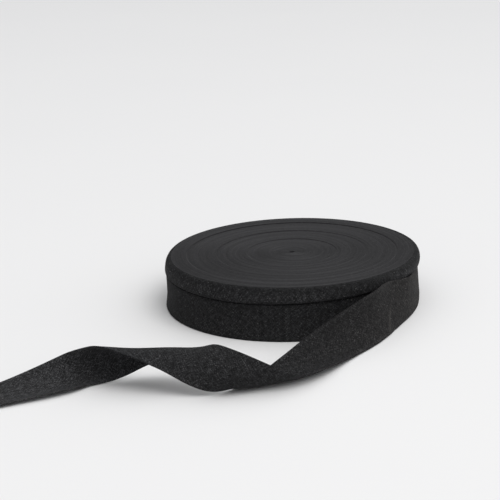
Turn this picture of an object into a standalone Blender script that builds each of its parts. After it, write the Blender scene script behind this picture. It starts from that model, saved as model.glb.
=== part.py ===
# Roll of black bias tape with a twisted loose end.
# The tape is wound flat into a coil that lies on its side. The last turn leaves the coil at the
# front right, turns right over as it runs to the left, and lies down flat at its cut end.
# Metres, +Z up. The origin is the centre of the coil's underside. The viewer looks along +Y.

import math
from collections import namedtuple

import bmesh
import bpy
import numpy as np

MM = 0.001
START_GAP = 0.0017              # from the coil's step to the middle of the loose end's first section

# Driving dimensions of the coil
COIL_RADIUS = 0.0724            # outer face of the last turn
COIL_HEIGHT = 0.0295
COIL_COLUMNS = 84               # flat columns around the coil

# Driving dimensions of the tape
TAPE_THICKNESS = 0.001
LEAVE_ANGLE = math.radians(-22)     # where the last turn leaves the coil, counted from +X
STEP_CLEARANCE = 0.0009         # room behind the tape where it leaves
STEP_DEPTH = TAPE_THICKNESS + STEP_CLEARANCE    # how far in the turn beneath lies at first
EASE_ANGLE = math.radians(110)      # the turn beneath comes out to the full radius over this angle
START_INSET = 0.00083           # the first section's middle lies this far inside COIL_RADIUS
BOW_SHORTENING = 32.0 / 3.0     # a shallow bow's pull on the width, for the same length of arc
FLOOR = 0.0

STATIONS_PER_ROW = 4            # sections made between two rows of the table below
STRIPS_ACROSS = 6               # flat strips across the tape's width

# The coil's side from its underside up, in millimetres: distance out from COIL_RADIUS, how much
# further out the same point stands at the right, and height. last_turn marks the points that
# belong to the last turn, which steps in where the tape leaves.
Rim = namedtuple("Rim", "out right height last_turn")
COIL_SIDE = [
    Rim(-0.5, 0.0, 0.0, True),
    Rim(0.3, 0.0, 0.3, True),
    Rim(0.5, -0.1, 1.0, True),
    Rim(0.3, 0.1, 4.0, True),
    Rim(0.0, 0.0, 8.5, True),
    Rim(-0.15, -0.1, 14.0, True),
    Rim(-0.25, -0.25, 18.5, True),
    Rim(-0.6, -0.3, 20.6, True),
    Rim(-1.3, -0.3, 21.0, True),        # the crease under the lip
    Rim(-0.3, -0.3, 21.5, False),
    Rim(0.4, -0.15, 22.7, False),
    Rim(0.5, 0.15, 24.5, False),
    Rim(0.3, 0.35, 26.2, False),
    Rim(-0.1, 0.5, 27.4, False),
    Rim(-0.7, 0.6, 28.5, False),
    Rim(-1.5, 0.6, 29.2, False),
]

# Height of the crease, in millimetres, by the angle in degrees past the point where the tape
# leaves, going the way the front is wound: left round the front, then back round behind.
CREASE_HEIGHT = 21.0
Crease = namedtuple("Crease", "past_leaving height")
CREASE = [
    Crease(0, 22.0),
    Crease(20, 21.9),
    Crease(35, 21.7),
    Crease(60, 21.2),
    Crease(80, 20.8),
    Crease(100, 20.2),
    Crease(180, 20.3),
    Crease(260, 20.9),
    Crease(330, 21.7),
    Crease(360, 22.0),
]
# A point's share in the crease's rise and fall, by its height in millimetres
Follow = namedtuple("Follow", "height share")
CREASE_FOLLOW = [Follow(8.5, 0.0), Follow(20.6, 1.0), Follow(21.5, 1.0), Follow(26.2, 0.0)]

# The coil's top from its shoulder to the eye: radius and depth below COIL_HEIGHT, in millimetres.
# Its turns stand in a few shallow bands.
Band = namedtuple("Band", "radius depth")
COIL_TOP = [
    Band(69.6, 0.0),
    Band(60.5, 0.0),
    Band(60.0, 0.5),
    Band(43.5, 0.3),
    Band(43.0, 0.7),
    Band(26.0, 0.4),
    Band(25.5, 0.8),
    Band(9.0, 0.5),
    Band(2.4, 0.9),
    Band(1.8, 3.0),             # the eye where the winding starts
]

# The loose end, one row every 20 mm or so: its middle line in millimetres, its twist in degrees,
# how far its middle bows out of flat, and its width. At a twist of -90 the tape stands upright with
# its outer face to the viewer, at 0 that face is up, and at 180 the tape has turned over.
# The width is measured along the bow. The first row lies against the coil's step.
Section = namedtuple("Section", "x y z twist bow width")
START_RADIUS = COIL_RADIUS - START_INSET
START_ANGLE = LEAVE_ANGLE - START_GAP / COIL_RADIUS
LOOSE_END = [
    Section(START_RADIUS / MM * math.cos(START_ANGLE), START_RADIUS / MM * math.sin(START_ANGLE),
            10.8, -87, 0.0, 21.3),
    Section(63.4, -39.2, 11.9, -90, 0.0, 22.8),
    Section(53.9, -55.2, 13.2, -81, -0.3, 25.9),
    Section(45.0, -73.2, 13.7, -81, -3.5, 28.0),
    Section(31.1, -88.8, 11.0, -64, -6.4, 28.0),
    Section(17.2, -104.5, 8.5, -36, -7.2, 28.0),
    Section(4.0, -121.0, 7.1, -7, -6.5, 28.0),
    Section(-12.3, -134.7, 7.0, 25, -5.5, 28.0),
    Section(-28.4, -140.7, 10.8, 74, -7.3, 28.0),
    Section(-41.2, -140.4, 13.0, 124, -6.7, 28.0),
    Section(-58.2, -133.3, 13.2, 173, -7.0, 28.0),
    Section(-81.5, -129.4, 12.6, 222, -6.5, 28.0),
    Section(-99.4, -125.8, 10.1, 273, -7.9, 28.0),
    Section(-112.2, -128.2, 7.9, 327, -7.3, 28.0),
    Section(-128.9, -133.4, 4.2, 352, -3.5, 28.0),
    Section(-146.9, -140.8, 1.3, 361, -0.7, 28.0),
    Section(-165.0, -149.5, 0.5, 360, 0.0, 28.0),
    Section(-184.0, -158.5, 0.5, 360, 0.0, 28.0),
]

CLOTH_COLOUR = (0.013, 0.013, 0.015, 1.0)
CLOTH_ROUGHNESS = 0.88


def clear_scene():
    """Remove every object that is already in the file."""
    for thing in list(bpy.data.objects):
        bpy.data.objects.remove(thing, do_unlink=True)


def black_cloth(name):
    """Plain matt black cotton."""
    material = bpy.data.materials.new(name)
    material.use_nodes = True
    shader = material.node_tree.nodes["Principled BSDF"]
    shader.inputs["Base Color"].default_value = CLOTH_COLOUR
    shader.inputs["Roughness"].default_value = CLOTH_ROUGHNESS
    shader.inputs["Metallic"].default_value = 0.0
    return material


def finish_object(name, mesh_builder, material):
    """Turn a finished bmesh into a named object with outward faces and soft shading."""
    bmesh.ops.recalc_face_normals(mesh_builder, faces=mesh_builder.faces)
    mesh = bpy.data.meshes.new(name)
    mesh_builder.to_mesh(mesh)
    mesh_builder.free()
    mesh.materials.append(material)
    mesh.shade_smooth()
    mesh.set_sharp_from_angle(angle=math.radians(35))
    piece = bpy.data.objects.new(name, mesh)
    bpy.context.collection.objects.link(piece)
    return piece


def turn_step(past_leaving):
    """How far the turn beneath lies inside the full radius, past the point where the tape leaves."""
    if past_leaving >= EASE_ANGLE:
        return 0.0
    return STEP_DEPTH * 0.5 * (1.0 + math.cos(math.pi * past_leaving / EASE_ANGLE))


def coil_column(turned, step):
    """The coil's outline in an upright plane, from its underside to its eye, this far past leaving."""
    angle = LEAVE_ANGLE - turned
    past, creases = zip(*CREASE)
    heights, shares = zip(*CREASE_FOLLOW)
    lift = np.interp(math.degrees(turned), past, creases) - CREASE_HEIGHT
    column = []
    for rim in COIL_SIDE:
        radius = COIL_RADIUS + (rim.out + rim.right * math.cos(angle)) * MM
        if rim.last_turn:
            radius -= step
        column.append((radius, (rim.height + lift * np.interp(rim.height, heights, shares)) * MM))
    for band in COIL_TOP:
        column.append((band.radius * MM, COIL_HEIGHT - band.depth * MM))
    return [(radius * math.cos(angle), radius * math.sin(angle), height) for radius, height in column]


def make_wound_roll(material):
    """The coil: one closed solid with the step where the last turn leaves it."""
    builder = bmesh.new()
    columns = []
    for index in range(COIL_COLUMNS):
        turned = 2.0 * math.pi * index / COIL_COLUMNS
        columns.append([builder.verts.new(point) for point in coil_column(turned, turn_step(turned))])

    # The tape's own end of the step: full radius at the angle where the first column is stepped in.
    last_turn = sum(rim.last_turn for rim in COIL_SIDE)
    full = coil_column(0.0, 0.0)[:last_turn]
    stepped = columns[0]
    outer = [builder.verts.new(point) for point in full]
    closing = outer + stepped[last_turn:]
    for low in range(last_turn - 1):
        builder.faces.new((outer[low], outer[low + 1], stepped[low + 1], stepped[low]))
    builder.faces.new((outer[-1], stepped[last_turn], stepped[last_turn - 1]))

    ring = columns + [closing]
    for left, right in zip(ring[:-1], ring[1:]):
        for low in range(len(left) - 1):
            builder.faces.new((left[low], left[low + 1], right[low + 1], right[low]))
    builder.faces.new([column[0] for column in ring])
    builder.faces.new([column[-1] for column in columns])
    return finish_object("wound_roll", builder, material)


def smooth_curve(values, steps):
    """Natural cubic spline through evenly spaced rows, read at steps counted in rows."""
    count = len(values)
    system = np.eye(count)
    bend = np.zeros_like(values)
    for row in range(1, count - 1):
        system[row, row - 1:row + 2] = (1.0, 4.0, 1.0)
        bend[row] = 6.0 * (values[row + 1] - 2.0 * values[row] + values[row - 1])
    curvature = np.linalg.solve(system, bend)
    low = np.minimum(steps.astype(int), count - 2)
    part = (steps - low)[:, None]
    rest = 1.0 - part
    straight = values[low] * rest + values[low + 1] * part
    return straight + (rest**3 - rest) * curvature[low] / 6.0 + (part**3 - part) * curvature[low + 1] / 6.0


def unit(vectors):
    """Vectors scaled to length one."""
    return vectors / np.linalg.norm(vectors, axis=-1, keepdims=True)


def loose_end_surface():
    """Grid of points on the tape's middle surface, and the normals of its outer face."""
    rows = np.array(LOOSE_END, dtype=float)
    rows[:, [0, 1, 2, 4, 5]] *= MM
    steps = np.linspace(0.0, len(rows) - 1.0, STATIONS_PER_ROW * (len(rows) - 1) + 1)
    curve = smooth_curve(rows, steps)
    middle, twist, bow, width = curve[:, :3], np.radians(curve[:, 3:4]), curve[:, 4:5], curve[:, 5:6]
    # A bowed tape reaches less far across, so that its width along the bow stays the same.
    reach = 0.5 * (width + np.sqrt(np.maximum(width**2 - BOW_SHORTENING * bow**2, 0.0)))

    along = unit(np.gradient(middle, axis=0))
    side = unit(np.stack([-along[:, 1], along[:, 0], np.zeros(len(along))], axis=1))
    up = np.cross(along, side)
    across = np.cos(twist) * side + np.sin(twist) * up
    out = np.cos(twist) * up - np.sin(twist) * side

    share = np.linspace(-0.5, 0.5, STRIPS_ACROSS + 1)[None, :, None]
    grid = middle[:, None] + share * (reach * across)[:, None]
    grid = grid + (1.0 - 4.0 * share**2) * (bow * out)[:, None]
    normal = unit(np.cross(np.gradient(grid, axis=1), np.gradient(grid, axis=0)))
    # A point too low for the tape's thickness is lifted until the lower face lies on the floor.
    lowest = FLOOR + 0.5 * TAPE_THICKNESS * np.abs(normal[..., 2])
    grid[..., 2] = np.maximum(grid[..., 2], lowest)
    return grid, normal


def make_loose_end(material):
    """The loose end: one closed sheet that starts against the coil's step."""
    grid, normal = loose_end_surface()
    offset = 0.5 * TAPE_THICKNESS * normal
    builder = bmesh.new()
    outer = [[builder.verts.new(point) for point in line] for line in grid + offset]
    inner = [[builder.verts.new(point) for point in line] for line in grid - offset]
    stations, points = grid.shape[:2]
    for i in range(stations - 1):
        for j in range(points - 1):
            builder.faces.new((outer[i][j], outer[i + 1][j], outer[i + 1][j + 1], outer[i][j + 1]))
            builder.faces.new((inner[i][j], inner[i][j + 1], inner[i + 1][j + 1], inner[i + 1][j]))
        for j in (0, points - 1):
            builder.faces.new((outer[i][j], inner[i][j], inner[i + 1][j], outer[i + 1][j]))
    for i in (0, stations - 1):
        for j in range(points - 1):
            builder.faces.new((outer[i][j], outer[i][j + 1], inner[i][j + 1], inner[i][j]))
    return finish_object("loose_end", builder, material)


def main():
    clear_scene()
    make_wound_roll(black_cloth("roll_cloth"))
    make_loose_end(black_cloth("loose_end_cloth"))


main()
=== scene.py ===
# Looks of the roll of black bias tape: the wound coil, its last turn with the twisted loose end,
# the lint on the cloth, the pale floor, the soft studio light and the camera.
# Metres, +Z up. The origin is the centre of the coil's underside.
import math
from collections import namedtuple

import bpy
import numpy as np
from mathutils import Matrix, Vector


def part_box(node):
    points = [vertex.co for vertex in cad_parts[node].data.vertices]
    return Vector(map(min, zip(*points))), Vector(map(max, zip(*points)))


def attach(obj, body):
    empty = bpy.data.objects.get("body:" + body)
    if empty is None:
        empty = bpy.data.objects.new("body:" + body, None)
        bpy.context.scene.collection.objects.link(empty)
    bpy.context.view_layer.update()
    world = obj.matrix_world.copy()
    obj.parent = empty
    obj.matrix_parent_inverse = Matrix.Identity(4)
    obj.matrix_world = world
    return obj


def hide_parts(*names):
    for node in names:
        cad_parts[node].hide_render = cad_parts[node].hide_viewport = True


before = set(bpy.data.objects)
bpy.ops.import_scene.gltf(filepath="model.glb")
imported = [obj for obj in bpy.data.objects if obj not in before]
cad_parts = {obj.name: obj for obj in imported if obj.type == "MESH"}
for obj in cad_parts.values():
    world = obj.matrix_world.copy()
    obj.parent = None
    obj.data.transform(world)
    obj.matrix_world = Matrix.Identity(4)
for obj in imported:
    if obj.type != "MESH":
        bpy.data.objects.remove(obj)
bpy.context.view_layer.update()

MM = 0.001
SEED = 7

# The coil, as the solid has it
COIL_RADIUS = 0.0724
COIL_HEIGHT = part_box("wound_roll")[1].z
LEAVE_ANGLE = math.radians(-22)     # where the last turn leaves the coil, counted from +X

# What the solid leaves out of it
COIL_COLUMNS = 288
TURN_PITCH = 0.65 * MM
HIDDEN_SIDE = 18.6 * MM         # height of the upright side behind the last turn
# The foot of that side: share of its radius, and height in millimetres
Foot = namedtuple("Foot", "share height")
COIL_FOOT = [Foot(0.5, 0.0), Foot(0.985, 0.0), Foot(1.0, 0.6)]

# The tape that shows
TAPE_THICKNESS = 0.62 * MM
STEPS_PER_ROW = 12
STRIPS_ACROSS = 22
EDGE_STEPS = 3                  # steps round each long edge
# A shallow arc is longer than its chord by this times its rise squared over the chord.
ARC_SHARE = 8.0 / 3.0
LAST_TURN_PITCH = 0.72 * MM     # how much the last turn grows over one turn
LAST_TURN_ROWS = 23
LAST_TURN_STEP = math.radians(16)
LAST_ROW_ANGLE = math.radians(-15.5)    # place of its last row, a step before the loose end's first
LIFT_OFF = 0.3 * MM             # how far out the last turn has come there
LIFT_OFF_SPAN = math.radians(26)
TAPE_GAP = 0.06 * MM
TUCK = 0.35 * MM                # the last turn's top edge stays this far below the crease
SEAM_SPAN = math.radians(70)    # the crease opens over this angle on either side of the leaving point
SEAM_SHARE = 0.12               # how open it is at the leaving point
TUCK_UNDER = 0.6 * MM           # where it closes, the tape's top edge runs up behind the lip
WAIST_FADE = 1.5                # rows of the loose end over which the coil's waist fades out of it
THREAD_PITCH = 0.46 * MM
HEM_PLACE = 12.2 * MM           # from the tape's middle line to the pressed line beside its edge
# A soft dent in the leaving tape, rubbed paler towards the lower edge
DENT_PLACE = 503.0 * MM         # distance along the sheet
DENT_LENGTH = 2.0 * MM
DENT_DEPTH = 0.3 * MM
DENT_AT_MIDDLE = 0.3            # share of its depth on the tape's middle line
DENT_RISE = 2.5                 # how fast that share grows towards the lower edge, for one width
STREAK_SLANT = -0.5             # how far the paler streak shifts along the tape for each step across it
# Painted light on the tape: how much paler and how much warmer its cloth is painted, by the distance
# along the sheet in metres, where it leaves the coil, in the arch and beyond
Tone = namedtuple("Tone", "along gain warmth")
PAINTED_LIGHT_ALONG = [
    Tone(0.42, 1.0, 0.0),
    Tone(0.452, 1.25, 0.08),
    Tone(0.49, 1.05, 0.05),
    Tone(0.53, 1.05, 0.03),
    Tone(0.59, 1.1, 0.0),
    Tone(0.625, 1.0, 0.0),
    Tone(0.645, 1.35, 0.0),
    Tone(0.68, 1.15, -0.02),
    Tone(0.71, 2.0, 0.0),
    Tone(0.75, 1.85, 0.0),
]

# Camera of the photograph
CAMERA_PLACE = Vector((0.00116, -0.7903, 0.2625))
CAMERA_PITCH = math.radians(16.37)      # looking down
CAMERA_YAW = math.radians(-1.81)
CAMERA_ROLL = math.radians(-2.2)
FOCAL_PIXELS = 1437.0
IMAGE_PIXELS = 500.0
SENSOR_MM = 36.0

# The surround's brightness, its least value, and how much it grows along each axis
AMBIENT_LEVEL = 0.29
AMBIENT_LEAST = 0.02
AMBIENT_TILT = (("X", 0.46), ("Y", -0.10), ("Z", 0.82))
AMBIENT_COLOUR = (0.99, 0.993, 1.0, 1.0)
# The key light, aimed at the coil
KEY_PLACE = (1.1, -1.4, 2.8)
KEY_SIZE = 2.2
KEY_POWER = 40.0
KEY_COLOUR = (1.0, 0.99, 0.98)

# Colours, the darker and the paler of each pair
CLOTH_COLOURS = (0.0108, 0.0109, 0.0116, 1.0), (0.0196, 0.0196, 0.0203, 1.0)
STREAK_COLOUR = (0.045, 0.044, 0.043, 1.0)
SPECK_COLOUR = (0.095, 0.093, 0.092, 1.0)
TURN_COLOURS = (0.007, 0.007, 0.008, 1.0), (0.0145, 0.014, 0.015, 1.0)
WORN_COLOUR = (0.07, 0.068, 0.068, 1.0)
LINT_COLOURS = (0.10, 0.10, 0.105, 1.0), (0.42, 0.41, 0.40, 1.0)
FLOOR_COLOURS = (0.79, 0.79, 0.795, 1.0), (0.81, 0.81, 0.81, 1.0)
SHEEN_TINT = (0.75, 0.75, 0.78, 1.0)

# The coil's side, in millimetres, from the underside up: distance out from COIL_RADIUS, how much
# further out the same point stands at the right, and height
Rim = namedtuple("Rim", "out right height")
TAPE_SIDE = [
    Rim(0.4, -0.4, 0.0),
    Rim(0.7, -0.55, 1.0),
    Rim(0.5, -0.25, 4.0),
    Rim(0.1, -0.2, 8.5),
    Rim(-0.05, -0.35, 14.0),
    Rim(-0.15, -0.55, 18.5),
    Rim(-0.4, -0.7, 20.8),
]
LIP = [
    Rim(-1.6, -0.4, 20.2),
    Rim(-1.4, -0.4, 21.0),
    Rim(-0.2, -0.3, 21.5),
    Rim(0.45, -0.15, 22.5),
    Rim(0.5, 0.15, 24.5),
    Rim(0.3, 0.35, 26.2),
    Rim(-0.1, 0.5, 27.4),
    Rim(-0.7, 0.6, 28.5),
    Rim(-1.5, 0.6, 29.2),
    Rim(-2.8, 0.3, 29.5),
]

# Height of the crease under the lip, in millimetres, by the angle in degrees past the point where
# the tape leaves, left round the front and back round behind
CREASE_HEIGHT = 21.0
Crease = namedtuple("Crease", "past_leaving height")
CREASE = [
    Crease(0, 22.0),
    Crease(20, 21.7),
    Crease(35, 21.4),
    Crease(60, 20.7),
    Crease(80, 20.3),
    Crease(100, 20.1),
    Crease(180, 20.3),
    Crease(260, 20.9),
    Crease(330, 21.7),
    Crease(360, 22.0),
]
# A point's share in the crease's rise and fall, by its height in millimetres
Follow = namedtuple("Follow", "height share")
CREASE_FOLLOW = [Follow(8.5, 0.0), Follow(20.6, 1.0), Follow(21.5, 1.0), Follow(26.2, 0.0)]

# The coil's top: radius and depth below COIL_HEIGHT, in millimetres, of the bands in its turns
Band = namedtuple("Band", "radius depth")
COIL_TOP = [
    Band(69.6, 0.0),
    Band(60.5, 0.0),
    Band(60.0, 0.5),
    Band(43.5, 0.3),
    Band(43.0, 0.7),
    Band(26.0, 0.4),
    Band(25.5, 0.8),
    Band(9.0, 0.5),
    Band(2.4, 0.9),
]
LIP_ROWS = 34
LIP_EDGE = 21.6 * MM            # below this the lip turns in towards the crease
FLUSH_DEPTH = 0.25 * MM         # how far in it lies behind the tape's face where the crease closes
EYE_RADIUS = 1.7 * MM
EYE_DEPTH = 3.0 * MM
# The eye's two lowest rings: share of its radius, and share of its depth
Ring = namedtuple("Ring", "radius depth")
EYE_RINGS = [Ring(0.9, 1.0), Ring(0.3, 1.1)]

# Unevenness of the crease, the side and the top's turns
SEAM_WAVE = 0.1 * MM
SIDE_WAVE = 0.12 * MM
WAVE_FADE = 4.0 * MM            # the first two fade out over this below the top
TOP_RADIUS = 69.3 * MM
TOP_DROP = 0.05 * MM            # keeps the turns' ridges just below the coil's height
VALLEY_DEPTH = 0.16 * MM
TURN_LIFT = 0.025 * MM
TOP_WAVE = 0.07 * MM
SPIRAL_START = 6                # the spiral sets in over this many ridges and valleys

# Lint on the tape and on the lip: how many fibres, how thick, how far off the cloth, and their
# lengths and heights in millimetres
TAPE_LINT, LIP_LINT = 230, 120
TAPE_LINT_THICKNESS, LIP_LINT_THICKNESS = 0.045 * MM, 0.04 * MM
TAPE_LINT_GAP, LIP_LINT_GAP = 0.03 * MM, 0.1 * MM
SHORTEST_LINT, LONGEST_TAPE_LINT, LONGEST_LIP_LINT = 0.25, 0.9, 0.8
LARGEST_CURL = 0.2
LIP_LINT_HEIGHTS = (21.6, 28.8)
FIBRE_SEGMENTS, FIBRE_SIDES = 4, 3

FLOOR_SIZE, FLOOR_DROP = 14.0, 0.2 * MM

# The loose end, one row every 20 mm or so: its middle line in millimetres, its twist in degrees,
# how far its middle bows out of flat, and its width
Section = namedtuple("Section", "x y z twist bow width")
LOOSE_END = [
    Section(63.4, -39.2, 11.9, -90, 0.0, 22.8),
    Section(53.9, -55.2, 13.2, -81, -0.3, 25.9),
    Section(45.0, -73.2, 13.7, -81, -3.5, 28.0),
    Section(31.1, -88.8, 11.0, -64, -6.4, 28.0),
    Section(17.2, -104.5, 8.5, -36, -7.2, 28.0),
    Section(4.0, -121.0, 7.1, -7, -6.5, 28.0),
    Section(-12.3, -134.7, 7.0, 25, -5.5, 28.0),
    Section(-28.4, -140.7, 10.8, 74, -7.3, 28.0),
    Section(-41.2, -140.4, 13.0, 124, -6.7, 28.0),
    Section(-58.2, -133.3, 13.2, 173, -7.0, 28.0),
    Section(-81.5, -129.4, 12.6, 222, -6.5, 28.0),
    Section(-99.4, -125.8, 10.1, 273, -7.9, 28.0),
    Section(-112.2, -128.2, 7.9, 327, -7.3, 28.0),
    Section(-128.9, -133.4, 4.2, 352, -3.5, 28.0),
    Section(-146.9, -140.8, 1.3, 361, -0.7, 28.0),
    Section(-165.0, -149.5, 0.35, 360, 0.0, 28.0),
    Section(-184.0, -158.5, 0.35, 360, 0.0, 28.0),
]


def unit(vectors):
    """Vectors scaled to length one."""
    return vectors / np.linalg.norm(vectors, axis=-1, keepdims=True)


def smooth_curve(values, steps):
    """Natural cubic spline through evenly spaced rows, read at steps counted in rows."""
    count = len(values)
    system = np.eye(count)
    bend = np.zeros_like(values)
    for row in range(1, count - 1):
        system[row, row - 1:row + 2] = (1.0, 4.0, 1.0)
        bend[row] = 6.0 * (values[row + 1] - 2.0 * values[row] + values[row - 1])
    curvature = np.linalg.solve(system, bend)
    low = np.minimum(steps.astype(int), count - 2)
    part = (steps - low)[:, None]
    rest = 1.0 - part
    straight = values[low] * rest + values[low + 1] * part
    before = (rest**3 - rest) * curvature[low] / 6.0
    after = (part**3 - part) * curvature[low + 1] / 6.0
    return straight + before + after


def waves(seed, count, low, high):
    """A few sine waves of random phase, for soft unevenness: frequency, phase and share."""
    chance = np.random.default_rng(seed)
    return [(chance.uniform(low, high), chance.uniform(0, 2 * math.pi), chance.uniform(0.4, 1.0))
            for _ in range(count)]


def uneven(position, terms):
    """The waves' sum at a position, between about -1 and 1."""
    total = sum(share for _, _, share in terms)
    return sum(share * np.sin(rate * position + phase) for rate, phase, share in terms) / total


def mesh_piece(name, points, faces, uvs, material):
    """An object from points, faces and one texture coordinate for each face corner."""
    mesh = bpy.data.meshes.new(name)
    mesh.from_pydata([tuple(p) for p in points], [], faces)
    layer = mesh.uv_layers.new(name="cloth")
    layer.data.foreach_set("uv", np.asarray(uvs, dtype=np.float32).ravel())
    mesh.materials.append(material)
    mesh.shade_smooth()
    piece = bpy.data.objects.new(name, mesh)
    bpy.context.collection.objects.link(piece)
    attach(piece, "root")
    return piece


def ring_faces(rows, columns):
    """Quads between rings whose points are stored row by row, and the grid place of each corner."""
    faces, corners = [], []
    for i in range(rows - 1):
        for j in range(columns):
            places = [(i, j), (i, j + 1), (i + 1, j + 1), (i + 1, j)]
            faces.append([a * columns + b % columns for a, b in places])
            corners.extend(places)
    return faces, corners


class Nodes:
    """Short calls for building a material's nodes."""

    def __init__(self, name):
        self.material = bpy.data.materials.new(name)
        self.material.use_nodes = True
        self.tree = self.material.node_tree
        self.shader = self.tree.nodes["Principled BSDF"]

    def add(self, kind, links=(), **settings):
        node = self.tree.nodes.new(kind)
        for key, value in settings.items():
            setattr(node, key, value)
        for socket, source in dict(links).items():
            self.put(node.inputs[socket], source)
        return node

    def put(self, socket, source):
        if isinstance(source, (int, float, tuple)):
            socket.default_value = source
        else:
            self.tree.links.new(source, socket)

    def math(self, operation, first, second=0.0, third=0.0):
        node = self.add("ShaderNodeMath", operation=operation)
        for socket, source in zip(node.inputs, (first, second, third)):
            self.put(socket, source)
        return node.outputs[0]

    def noise(self, vector, scale, detail=3.0, roughness=0.5):
        links = {"Vector": vector, "Scale": scale, "Detail": detail, "Roughness": roughness}
        return self.add("ShaderNodeTexNoise", links).outputs["Fac"]

    def ramp(self, value, *stops):
        node = self.add("ShaderNodeValToRGB", {"Fac": value})
        ramp = node.color_ramp
        while len(ramp.elements) < len(stops):
            ramp.elements.new(0.5)
        for element, (place, colour) in zip(ramp.elements, stops):
            element.position = place
            element.color = colour if isinstance(colour, tuple) else (colour, colour, colour, 1.0)
        return node.outputs["Color"]

    def mix(self, share, first, second, blend="MIX"):
        node = self.add("ShaderNodeMix", data_type="RGBA", blend_type=blend)
        # On a node that mixes colours, these are the sockets Factor, A, B and Result.
        for index, source in ((0, share), (6, first), (7, second)):
            self.put(node.inputs[index], source)
        return node.outputs[2]

    def multiply(self, first, second):
        return self.mix(1.0, first, second, "MULTIPLY")

    def sheen(self, weight, roughness):
        for name, value in (("Weight", weight), ("Roughness", roughness), ("Tint", SHEEN_TINT)):
            self.shader.inputs["Sheen " + name].default_value = value

    def bump(self, height, distance, strength, normal=None):
        links = {"Height": height, "Distance": distance, "Strength": strength}
        if normal is not None:
            links["Normal"] = normal
        return self.add("ShaderNodeBump", links).outputs["Normal"]


def cloth_places(nodes):
    """Distance along and across the tape, the two together, and the place in space, as sockets."""
    uv = nodes.add("ShaderNodeUVMap", uv_map="cloth").outputs["UV"]
    split = nodes.add("ShaderNodeSeparateXYZ", {"Vector": uv})
    space = nodes.add("ShaderNodeTexCoord").outputs["Object"]
    return split.outputs["X"], split.outputs["Y"], uv, space


def slub_yarns(nodes, along, across):
    """Uneven yarns that run both ways at 45 degrees to the tape: a value around a half."""
    first = nodes.math("ADD", along, across)
    second = nodes.math("SUBTRACT", along, across)
    yarns = []
    for lengthwise, crosswise in ((first, second), (second, first)):
        place = nodes.add("ShaderNodeCombineXYZ", {
            "X": nodes.math("MULTIPLY", lengthwise, 0.17), "Y": crosswise})
        yarns.append(nodes.noise(place.outputs[0], scale=1150.0, detail=2.0, roughness=0.65))
    return nodes.math("MULTIPLY", nodes.math("ADD", yarns[0], yarns[1]), 0.5)


def specks(nodes, uv, cells, size, share):
    """Round specks scattered over the cloth: 1 on a speck and 0 beside it."""
    links = {"Vector": uv, "Scale": cells, "Randomness": 1.0}
    cell = nodes.add("ShaderNodeTexVoronoi", links, voronoi_dimensions="2D")
    chosen = nodes.math("LESS_THAN", nodes.add(
        "ShaderNodeSeparateXYZ", {"Vector": cell.outputs["Color"]}).outputs["X"], share)
    near = nodes.ramp(cell.outputs["Distance"], (0.45 * size * cells, 1.0), (size * cells, 0.0))
    return nodes.math("MULTIPLY", near, chosen)


def bias_weave(nodes, along, across, space):
    """Threads that cross the tape at 45 degrees and drift a little: 0 in a hollow, 1 on a thread."""
    thread = math.pi / THREAD_PITCH / math.sqrt(2.0)
    drift = nodes.math("MULTIPLY", nodes.noise(space, scale=260.0, detail=2.0), 0.9)
    sines = []
    for way in ("ADD", "SUBTRACT"):
        turned = nodes.math("MULTIPLY", nodes.math(way, along, across), thread)
        sines.append(nodes.math("SINE", nodes.math("ADD", turned, drift)))
    return nodes.math("MULTIPLY_ADD", nodes.math("MULTIPLY", *sines), 0.5, 0.5)


def hem_streak_and_painted_light(nodes, cloth, along, across):
    """The pressed line beside each edge with painted shade on it and a painted highlight outside it, the
    streak on the dent, and painted light along the tape.
    """
    edge = nodes.math("MULTIPLY", nodes.math("ABSOLUTE", across), 0.5 / HEM_PLACE)
    # Painted shade: a darker line on the pressed crease; painted highlight: a paler border between it and
    # the edge.
    cloth = nodes.multiply(cloth, nodes.ramp(edge, (0.492, 1.0), (0.5, 0.72), (0.508, 1.16)))

    beside = nodes.math("SUBTRACT", nodes.math("MULTIPLY_ADD", across, STREAK_SLANT, along), DENT_PLACE)
    beside = nodes.math("MULTIPLY", nodes.math("ABSOLUTE", beside), 0.25 / DENT_LENGTH)
    below = nodes.math("MULTIPLY_ADD", across, 1.0 / HEM_PLACE, 0.3)
    streak = nodes.math("MULTIPLY", nodes.ramp(beside, (0.04, 0.5), (0.24, 0.0)),
                        nodes.ramp(below, (0.1, 0.0), (0.6, 1.0)))
    cloth = nodes.mix(streak, cloth, STREAK_COLOUR)

    # Painted light along the tape: paler and warmer stretches of its cloth.
    stops = []
    for tone in PAINTED_LIGHT_ALONG:
        warm, cool = tone.gain * (1.0 + tone.warmth), tone.gain * (1.0 - tone.warmth)
        stops.append((tone.along, (warm, tone.gain, cool, 1.0)))
    return nodes.multiply(cloth, nodes.ramp(along, *stops))


def painted_lip_light(nodes, cloth, space):
    """Painted light on the lip: a paler band low on it, and painted shade near its top."""
    height = nodes.add("ShaderNodeSeparateXYZ", {"Vector": space}).outputs["Z"]
    height = nodes.math("MULTIPLY", height, 1.0 / COIL_HEIGHT)
    return nodes.multiply(cloth, nodes.ramp(height, (0.70, 1.0), (0.76, 1.4), (0.86, 1.35), (0.95, 0.85)))


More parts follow.
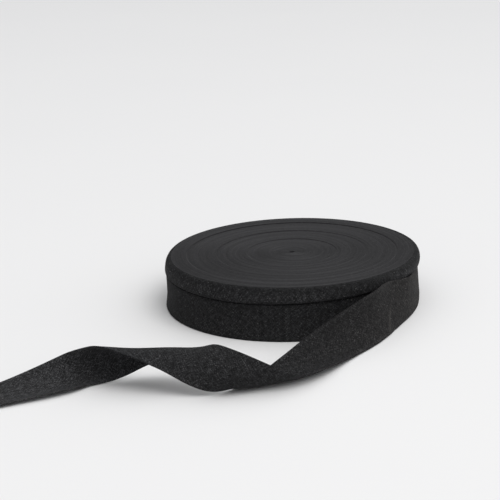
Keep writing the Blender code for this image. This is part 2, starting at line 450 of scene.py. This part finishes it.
def black_tape(name, hem_and_painted_light=False, with_lip_light=False):
    """Matt black cotton cut on the bias: its threads cross the tape at 45 degrees."""
    nodes = Nodes(name)
    along, across, uv, space = cloth_places(nodes)
    weave = bias_weave(nodes, along, across, space)
    slub = slub_yarns(nodes, along, across)
    fuzz = nodes.noise(space, scale=2000.0, detail=3.0, roughness=0.75)
    mottle = nodes.noise(space, scale=46.0, detail=5.0, roughness=0.65)

    cloth = nodes.mix(mottle, *CLOTH_COLOURS)
    cloth = nodes.multiply(cloth, nodes.mix(weave, (0.5, 0.5, 0.5, 1.0), (1.4, 1.4, 1.4, 1.0)))
    cloth = nodes.multiply(cloth, nodes.ramp(slub, (0.38, 0.4), (0.5, 0.95), (0.62, 2.0)))
    cloth = nodes.multiply(cloth, nodes.ramp(fuzz, (0.38, 0.4), (0.5, 0.95), (0.62, 2.1)))
    if hem_and_painted_light:
        cloth = hem_streak_and_painted_light(nodes, cloth, along, across)
    if with_lip_light:
        cloth = painted_lip_light(nodes, cloth, space)
    fine = specks(nodes, uv, cells=330.0, size=0.3 * MM, share=0.28)
    coarse = specks(nodes, uv, cells=140.0, size=0.4 * MM, share=0.2)
    lint = nodes.math("MAXIMUM", fine, coarse)
    lint = nodes.math("MULTIPLY", lint, nodes.ramp(fuzz, (0.35, 0.25), (0.6, 0.9)))
    cloth = nodes.mix(lint, cloth, SPECK_COLOUR)
    nodes.put(nodes.shader.inputs["Base Color"], cloth)
    nodes.put(nodes.shader.inputs["Roughness"], nodes.math("MULTIPLY_ADD", weave, -0.08, 0.93))
    nodes.shader.inputs["Specular IOR Level"].default_value = 0.12
    nodes.sheen(weight=0.02, roughness=0.4)

    soft = nodes.bump(mottle, distance=0.3 * MM, strength=0.25)
    yarn = nodes.bump(slub, distance=0.16 * MM, strength=0.7, normal=soft)
    threads = nodes.bump(weave, distance=0.09 * MM, strength=0.9, normal=yarn)
    hairs = nodes.bump(fuzz, distance=0.07 * MM, strength=0.6, normal=threads)
    nodes.put(nodes.shader.inputs["Normal"], hairs)
    return nodes.material


def turn_edges(name):
    """The folded edges of the turns on the coil's top, with painted shade in the gaps between them."""
    nodes = Nodes(name)
    along, across, _, space = cloth_places(nodes)
    turn = nodes.math("MULTIPLY", across, 2.0 * math.pi / TURN_PITCH)
    ridge = nodes.math("MULTIPLY_ADD", nodes.math("COSINE", turn), 0.5, 0.5)
    stretched = nodes.add("ShaderNodeCombineXYZ", {"X": nodes.math("MULTIPLY", along, 0.3), "Y": across})
    lumps = nodes.noise(stretched.outputs[0], scale=900.0, detail=3.0, roughness=0.6)
    fuzz = nodes.noise(space, scale=5200.0, detail=2.0, roughness=0.7)
    mottle = nodes.noise(space, scale=60.0, detail=3.0, roughness=0.6)
    by_turn = nodes.add("ShaderNodeCombineXYZ", {"X": nodes.math("MULTIPLY", along, 0.004), "Y": across})
    bands = nodes.noise(by_turn.outputs[0], scale=620.0, detail=3.0, roughness=0.7)

    cloth = nodes.mix(mottle, *TURN_COLOURS)
    cloth = nodes.multiply(cloth, nodes.ramp(bands, (0.34, 0.45), (0.5, 0.95), (0.66, 1.7)))
    # Painted shade in the gaps between the turns, and paler painted light on their ridges.
    cloth = nodes.multiply(cloth, nodes.mix(ridge, (0.4, 0.4, 0.4, 1.0), (1.3, 1.3, 1.3, 1.0)))
    worn = nodes.math("MULTIPLY", nodes.ramp(lumps, (0.52, 0.0), (0.74, 1.0)), 0.22)
    cloth = nodes.mix(worn, cloth, WORN_COLOUR)
    nodes.put(nodes.shader.inputs["Base Color"], cloth)
    nodes.put(nodes.shader.inputs["Roughness"], nodes.math("MULTIPLY_ADD", ridge, -0.06, 0.95))
    nodes.shader.inputs["Specular IOR Level"].default_value = 0.2
    nodes.sheen(weight=0.12, roughness=0.45)

    ribs = nodes.bump(ridge, distance=0.12 * MM, strength=0.6)
    knots = nodes.bump(lumps, distance=0.1 * MM, strength=0.7, normal=ribs)
    hairs = nodes.bump(fuzz, distance=0.05 * MM, strength=0.5, normal=knots)
    nodes.put(nodes.shader.inputs["Normal"], hairs)
    return nodes.material


def pale_lint(name):
    """Pale dust and fibre ends."""
    nodes = Nodes(name)
    space = nodes.add("ShaderNodeTexCoord").outputs["Object"]
    shade = nodes.noise(space, scale=900.0, detail=2.0)
    nodes.put(nodes.shader.inputs["Base Color"], nodes.mix(shade, *LINT_COLOURS))
    nodes.put(nodes.shader.inputs["Roughness"], nodes.math("MULTIPLY_ADD", shade, 0.1, 0.85))
    nodes.put(nodes.shader.inputs["Normal"], nodes.bump(shade, distance=0.02 * MM, strength=0.4))
    return nodes.material


def side_profile(rims, heights, toward_right):
    """Distance out at given heights in metres, read from a table of rims."""
    table = np.array(rims, dtype=float) * MM
    out = np.interp(heights, table[:, 2], table[:, 0])
    return out + np.interp(heights, table[:, 2], table[:, 1]) * toward_right


def crease_height(turned):
    """Height of the crease in metres, by the angle past the leaving point."""
    table = np.array(CREASE, dtype=float)
    return np.interp(np.degrees(turned) % 360.0, table[:, 0], table[:, 1]) * MM


def crease_share(turned):
    """How open the crease is, from SEAM_SHARE at the leaving point to one round the front and back."""
    away = np.abs((turned + math.pi) % (2.0 * math.pi) - math.pi)
    part = np.clip(away / SEAM_SPAN, 0.0, 1.0)
    return SEAM_SHARE + (1.0 - SEAM_SHARE) * part * part * (3.0 - 2.0 * part)


def last_turn_rows():
    """Rows of the last turn on the coil, from under the leaving point once round to it."""
    rows = []
    middle = COIL_RADIUS - 0.5 * TAPE_THICKNESS
    for index in range(LAST_TURN_ROWS + 1):
        back = (LAST_TURN_ROWS - index) * LAST_TURN_STEP
        angle = LAST_ROW_ANGLE + back
        radius = middle - LAST_TURN_PITCH * back / (2.0 * math.pi)
        radius += LIFT_OFF * max(0.0, 1.0 - back / LIFT_OFF_SPAN) ** 2
        turned = LEAVE_ANGLE - angle
        share = crease_share(turned)
        width = crease_height(turned) - TUCK * share + TUCK_UNDER * (1.0 - share)
        rows.append((radius * math.cos(angle), radius * math.sin(angle), 0.5 * width,
                     -90.0, 0.0, width))
    return rows


def tape_surface():
    """Middle surface of the last turn and loose end: points, outer normals, and places on the cloth."""
    loose = np.array(LOOSE_END, dtype=float)
    loose[:, [0, 1, 2, 4, 5]] *= MM
    rows = np.vstack([np.array(last_turn_rows()), loose])
    steps = np.linspace(0.0, len(rows) - 1.0, STEPS_PER_ROW * (len(rows) - 1) + 1)
    curve = smooth_curve(rows, steps)
    middle, twist, bow, width = curve[:, :3], np.radians(curve[:, 3:4]), curve[:, 4:5], curve[:, 5:6]
    # A bowed tape reaches less far across, so that its width along the bow stays the same.
    reach = 0.5 * (width + np.sqrt(np.maximum(width**2 - 4.0 * ARC_SHARE * bow**2, 0.0)))
    length = np.concatenate([[0.0], np.cumsum(np.linalg.norm(np.diff(middle, axis=0), axis=1))])

    along = unit(np.gradient(middle, axis=0))
    side = unit(np.stack([-along[:, 1], along[:, 0], np.zeros(len(along))], axis=1))
    up = np.cross(along, side)
    across = np.cos(twist) * side + np.sin(twist) * up
    out = np.cos(twist) * up - np.sin(twist) * side

    share = np.linspace(-0.5, 0.5, STRIPS_ACROSS + 1)[None, :, None]
    grid = middle[:, None] + share * (reach * across)[:, None]
    grid = grid + (1.0 - 4.0 * share**2) * (bow * out)[:, None]
    normal = unit(np.cross(np.gradient(grid, axis=1), np.gradient(grid, axis=0)))

    # On the coil the tape follows the side's slight waist; the waist fades out along the loose end.
    on_coil = np.clip((LAST_TURN_ROWS + WAIST_FADE - steps) / WAIST_FADE, 0.0, 1.0)[:, None, None]
    upright = grid[..., 2] * (CREASE_HEIGHT - TUCK / MM) * MM / width
    outward = unit(grid * (1.0, 1.0, 0.0))
    grid = grid + on_coil * side_profile(TAPE_SIDE, upright, outward[..., 0])[..., None] * outward

    dent = DENT_DEPTH * np.exp(-((length - DENT_PLACE) / DENT_LENGTH) ** 2)[:, None, None]
    grid = grid - dent * np.clip(DENT_AT_MIDDLE + DENT_RISE * share, 0.0, 1.0) * outward

    lowest = 0.5 * TAPE_THICKNESS * np.abs(normal[..., 2])
    grid[..., 2] = np.maximum(grid[..., 2], lowest)
    place = np.stack([np.broadcast_to(length[:, None], grid.shape[:2]), share[..., 0] * width], axis=-1)
    return grid, normal, place


def rounded_edge(point, normal, outward):
    """Points round a long edge of the tape, from the outer face over to the inner one."""
    turns = [math.pi * k / EDGE_STEPS for k in range(1, EDGE_STEPS)]
    return [point + 0.5 * TAPE_THICKNESS * (math.cos(t) * normal + math.sin(t) * outward) for t in turns]


def make_tape(material):
    """The last turn and the loose end as one thin sheet with rounded long edges."""
    grid, normal, place = tape_surface()
    outward = unit(np.gradient(grid, axis=1))
    lift = 0.5 * TAPE_THICKNESS * normal
    loops, marks = [], []
    for i in range(len(grid)):
        outer, inner = grid[i] + lift[i], grid[i] - lift[i]
        last_edge = rounded_edge(grid[i, -1], normal[i, -1], outward[i, -1])
        first_edge = rounded_edge(grid[i, 0], -normal[i, 0], -outward[i, 0])
        loops.append([*outer, *last_edge, *inner[::-1], *first_edge])
        marks.append([*place[i], *[place[i, -1]] * len(last_edge),
                      *place[i, ::-1], *[place[i, 0]] * len(first_edge)])
    points = np.array(loops)
    points[..., 2] = np.maximum(points[..., 2], 0.0)
    marks = np.array(marks)
    count = points.shape[1]
    faces, corners = ring_faces(len(points), count)
    uvs = [marks[i, j % count] for i, j in corners]
    for row in (0, len(points) - 1):
        ring = [row * count + j for j in range(count)]
        ring = ring if row else ring[::-1]
        faces.append(ring)
        uvs.extend(marks[row, index % count] for index in ring)
    piece = mesh_piece("bias_tape", points.reshape(-1, 3), faces, uvs, material)
    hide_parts("loose_end")
    return piece, grid, normal


def top_height(radius):
    """Height of the coil's top at a radius, from the table of bands."""
    table = np.array(COIL_TOP, dtype=float)[::-1] * MM
    return COIL_HEIGHT - np.interp(radius, table[:, 0], table[:, 1])


def side_rings(angles, turned):
    """The coil's side from the underside up, as rings of radius and height: foot, hidden side, lip."""
    # The hidden side follows the last turn round.
    inner = COIL_RADIUS - TAPE_THICKNESS - TAPE_GAP - LAST_TURN_PITCH * (1.0 - turned / (2.0 * math.pi))
    rings = [(inner * foot.share, np.full(COIL_COLUMNS, foot.height * MM)) for foot in COIL_FOOT]
    rings.append((inner, np.full(COIL_COLUMNS, HIDDEN_SIDE)))

    lift = crease_height(turned) - CREASE_HEIGHT * MM
    follow = np.array(CREASE_FOLLOW) * (MM, 1.0)
    seam = uneven(angles, waves(SEED, 4, 2.0, 9.0)) * SEAM_WAVE
    swell = uneven(angles, waves(SEED + 1, 5, 1.0, 6.0)) * SIDE_WAVE
    for out, right, height in smooth_curve(np.array(LIP) * MM, np.linspace(0, len(LIP) - 1, LIP_ROWS)):
        fade = np.clip((COIL_HEIGHT - height) / WAVE_FADE, 0.0, 1.0)
        radius = COIL_RADIUS + out + right * np.cos(angles) + swell * fade
        if height < LIP_EDGE:
            flush = COIL_RADIUS + side_profile(TAPE_SIDE, height, np.cos(angles)) - FLUSH_DEPTH
            radius += (1.0 - crease_share(turned)) * (np.maximum(radius, flush) - radius)
        rise = lift * np.interp(height, follow[:, 0], follow[:, 1])
        rings.append((radius, height + rise + seam * fade))
    return rings


def top_rings(angles, turned):
    """The coil's top from the rim in: a ridge and a valley for every turn, and the eye."""
    half_turn = 0.5 * TURN_PITCH
    count = int((TOP_RADIUS - EYE_RADIUS) / half_turn)
    lift = np.random.default_rng(SEED + 2).normal(0.0, TURN_LIFT, count)
    rings = []
    for k in range(count):
        growth = min(1.0, k / SPIRAL_START) if k > 1 else 0.0
        radius = TOP_RADIUS - k * half_turn - TURN_PITCH * turned / (2.0 * math.pi) * growth
        ridge = 0.0 if k % 2 else -VALLEY_DEPTH
        wave = TOP_WAVE * np.sin(3.0 * angles + 0.37 * k) * np.sin(0.11 * k)
        height = np.minimum(top_height(radius) + ridge + lift[k] + wave - TOP_DROP, COIL_HEIGHT)
        rings.append((np.maximum(radius, EYE_RADIUS), height))
    for ring in EYE_RINGS:
        rings.append((np.full(COIL_COLUMNS, EYE_RADIUS * ring.radius),
                      np.full(COIL_COLUMNS, COIL_HEIGHT - EYE_DEPTH * ring.depth)))
    return rings


def make_coil(side_material, top_material):
    """The wound coil: underside, hidden side, lip, and the top with its turns and eye."""
    turned = 2.0 * math.pi * np.arange(COIL_COLUMNS) / COIL_COLUMNS
    angles = LEAVE_ANGLE - turned
    side = side_rings(angles, turned)
    rings = side + top_rings(angles, turned)
    total = len(rings)
    points = np.array([np.stack([r * np.cos(angles), r * np.sin(angles), z], axis=1) for r, z in rings])
    faces, corners = ring_faces(total, COIL_COLUMNS)

    # Across the cloth, the side is measured up its profile and the top by its radius.
    steps = np.linalg.norm(np.diff(points[:, 0], axis=0), axis=1)
    climb = np.concatenate([[0.0], np.cumsum(steps)])
    climb[len(side):] = [radius[0] for radius, _ in rings[len(side):]]
    column = COIL_RADIUS * 2.0 * math.pi / COIL_COLUMNS
    uvs = [(column * j, climb[i]) for i, j in corners]
    bottom = list(range(COIL_COLUMNS))
    eye = [(total - 1) * COIL_COLUMNS + j for j in bottom]
    for cap in (bottom, eye[::-1]):
        faces.append(cap)
        uvs.extend([(0.0, 0.0)] * COIL_COLUMNS)

    piece = mesh_piece("coil", points.reshape(-1, 3), faces, uvs, side_material)
    piece.data.materials.append(top_material)
    slots = np.zeros(len(faces), dtype=np.int32)
    slots[(len(side) - 1) * COIL_COLUMNS:(total - 1) * COIL_COLUMNS] = 1
    piece.data.polygons.foreach_set("material_index", slots)
    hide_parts("wound_roll")


class Fibres:
    """Short bent three-sided fibres, gathered into one mesh."""

    def __init__(self, chance):
        self.chance = chance
        self.points, self.faces = [], []

    def add(self, start, direction, sideways, length, thick, curl):
        direction, sideways = unit(direction), unit(sideways)
        other = np.cross(direction, sideways)
        first = len(self.points)
        for k in range(FIBRE_SEGMENTS + 1):
            part = k / FIBRE_SEGMENTS
            centre = start + direction * length * part + sideways * curl * math.sin(part * math.pi)
            for side in range(FIBRE_SIDES):
                turn = 2.0 * math.pi * side / FIBRE_SIDES
                self.points.append(centre + thick * (math.cos(turn) * sideways + math.sin(turn) * other))
        for k in range(FIBRE_SEGMENTS):
            ring = first + k * FIBRE_SIDES
            for side in range(FIBRE_SIDES):
                a, b = ring + side, ring + (side + 1) % FIBRE_SIDES
                self.faces.append([a, b, b + FIBRE_SIDES, a + FIBRE_SIDES])
        near = [first + side for side in range(FIBRE_SIDES)]
        far = [index + FIBRE_SEGMENTS * FIBRE_SIDES for index in near]
        self.faces += [near[::-1], far]

    def lay(self, start, up, longest, thick):
        """Lay a fibre of random length, direction and curl on a surface that faces up."""
        lie = unit(np.cross(up, self.chance.normal(size=3)))
        length = self.chance.uniform(SHORTEST_LINT, longest) * MM
        curl = self.chance.uniform(0.0, LARGEST_CURL) * MM
        self.add(start, lie, np.cross(lie, up), length, thick, curl)


def make_lint(material, grid, normal):
    """Specks and short fibres caught on the tape and along the lip."""
    chance = np.random.default_rng(SEED + 3)
    fibres = Fibres(chance)
    rows, strips = grid.shape[:2]
    for _ in range(TAPE_LINT):
        i, j = chance.integers(2, rows - 2), chance.integers(1, strips - 1)
        face = chance.choice([1.0, -1.0]) if i > LAST_TURN_ROWS * STEPS_PER_ROW else 1.0
        up = normal[i, j] * face
        start = grid[i, j] + up * (0.5 * TAPE_THICKNESS + TAPE_LINT_GAP)
        fibres.lay(start, up, LONGEST_TAPE_LINT, TAPE_LINT_THICKNESS)
    for _ in range(LIP_LINT):
        angle, height = chance.uniform(0.0, 2.0 * math.pi), chance.uniform(*LIP_LINT_HEIGHTS) * MM
        out = side_profile(LIP, height, math.cos(angle)) + LIP_LINT_GAP
        radial = np.array([math.cos(angle), math.sin(angle), 0.0])
        start = radial * (COIL_RADIUS + out) + np.array([0.0, 0.0, height])
        fibres.lay(start, radial, LONGEST_LIP_LINT, LIP_LINT_THICKNESS)
    points = np.array(fibres.points)
    points[:, 2] = np.maximum(points[:, 2], 0.0)
    uvs = [(0.0, 0.0)] * sum(len(face) for face in fibres.faces)
    piece = mesh_piece("lint", points, fibres.faces, uvs, material)


def make_stage():
    """A wide pale floor."""
    nodes = Nodes("floor_paper")
    space = nodes.add("ShaderNodeTexCoord").outputs["Object"]
    shade = nodes.noise(space, scale=3.0, detail=2.0)
    nodes.put(nodes.shader.inputs["Base Color"], nodes.mix(shade, *FLOOR_COLOURS))
    nodes.shader.inputs["Roughness"].default_value = 0.9
    nodes.shader.inputs["Specular IOR Level"].default_value = 0.1
    quarters = ((-1.0, -1.0), (1.0, -1.0), (1.0, 1.0), (-1.0, 1.0))
    corners = [(x * FLOOR_SIZE, y * FLOOR_SIZE, -FLOOR_DROP) for x, y in quarters]
    mesh = bpy.data.meshes.new("floor")
    mesh.from_pydata(corners, [], [(0, 1, 2, 3)])
    mesh.materials.append(nodes.material)
    floor = bpy.data.objects.new("floor", mesh)
    bpy.context.collection.objects.link(floor)


def make_key_light():
    """A large weak light that faces the coil."""
    data = bpy.data.lights.new("key_light", "AREA")
    data.shape = "SQUARE"
    data.size = KEY_SIZE
    data.energy = KEY_POWER
    data.color = KEY_COLOUR
    light = bpy.data.objects.new("key_light", data)
    light.location = KEY_PLACE
    light.rotation_euler = (-Vector(KEY_PLACE)).to_track_quat("-Z", "Y").to_euler()
    bpy.context.collection.objects.link(light)


def make_surround():
    """A pale surround, brightest overhead and at the right."""
    world = bpy.data.worlds.new("studio")
    world.use_nodes = True
    tree = world.node_tree
    background = tree.nodes["Background"]
    background.inputs["Color"].default_value = AMBIENT_COLOUR
    way = tree.nodes.new("ShaderNodeTexCoord")
    split = tree.nodes.new("ShaderNodeSeparateXYZ")
    tree.links.new(way.outputs["Generated"], split.inputs[0])
    level = None
    for axis, growth in AMBIENT_TILT:
        node = tree.nodes.new("ShaderNodeMath")
        node.operation = "MULTIPLY_ADD"
        tree.links.new(split.outputs[axis], node.inputs[0])
        node.inputs[1].default_value = growth
        if level is None:
            node.inputs[2].default_value = AMBIENT_LEVEL
        else:
            tree.links.new(level, node.inputs[2])
        level = node.outputs[0]
    least = tree.nodes.new("ShaderNodeMath")
    least.operation = "MAXIMUM"
    tree.links.new(level, least.inputs[0])
    least.inputs[1].default_value = AMBIENT_LEAST
    tree.links.new(least.outputs[0], background.inputs["Strength"])
    bpy.context.scene.world = world


def make_camera():
    """The photograph's camera, from its place, its three angles and its focal length in pixels."""
    cos_pitch, sin_pitch = math.cos(CAMERA_PITCH), math.sin(CAMERA_PITCH)
    cos_yaw, sin_yaw = math.cos(CAMERA_YAW), math.sin(CAMERA_YAW)
    forward = Vector((sin_yaw * cos_pitch, cos_yaw * cos_pitch, -sin_pitch))
    right = Vector((cos_yaw, -sin_yaw, 0.0))
    up = right.cross(forward)
    cos_roll, sin_roll = math.cos(CAMERA_ROLL), math.sin(CAMERA_ROLL)
    side, top = cos_roll * right + sin_roll * up, cos_roll * up - sin_roll * right
    data = bpy.data.cameras.new("camera")
    data.sensor_width = SENSOR_MM
    data.lens = FOCAL_PIXELS * SENSOR_MM / IMAGE_PIXELS
    camera = bpy.data.objects.new("camera", data)
    turn = Matrix((side, top, -forward)).transposed().to_4x4()
    camera.matrix_world = Matrix.Translation(CAMERA_PLACE) @ turn
    bpy.context.collection.objects.link(camera)
    bpy.context.scene.camera = camera


make_camera()
make_stage()
make_key_light()
make_surround()
bpy.context.scene.view_settings.view_transform = "Standard"

tape_cloth = black_tape("bias_cotton", hem_and_painted_light=True)
make_coil(black_tape("coil_cotton", with_lip_light=True), turn_edges("turn_edges"))
tape, tape_grid, tape_normal = make_tape(tape_cloth)
make_lint(pale_lint("lint_fibres"), tape_grid, tape_normal)
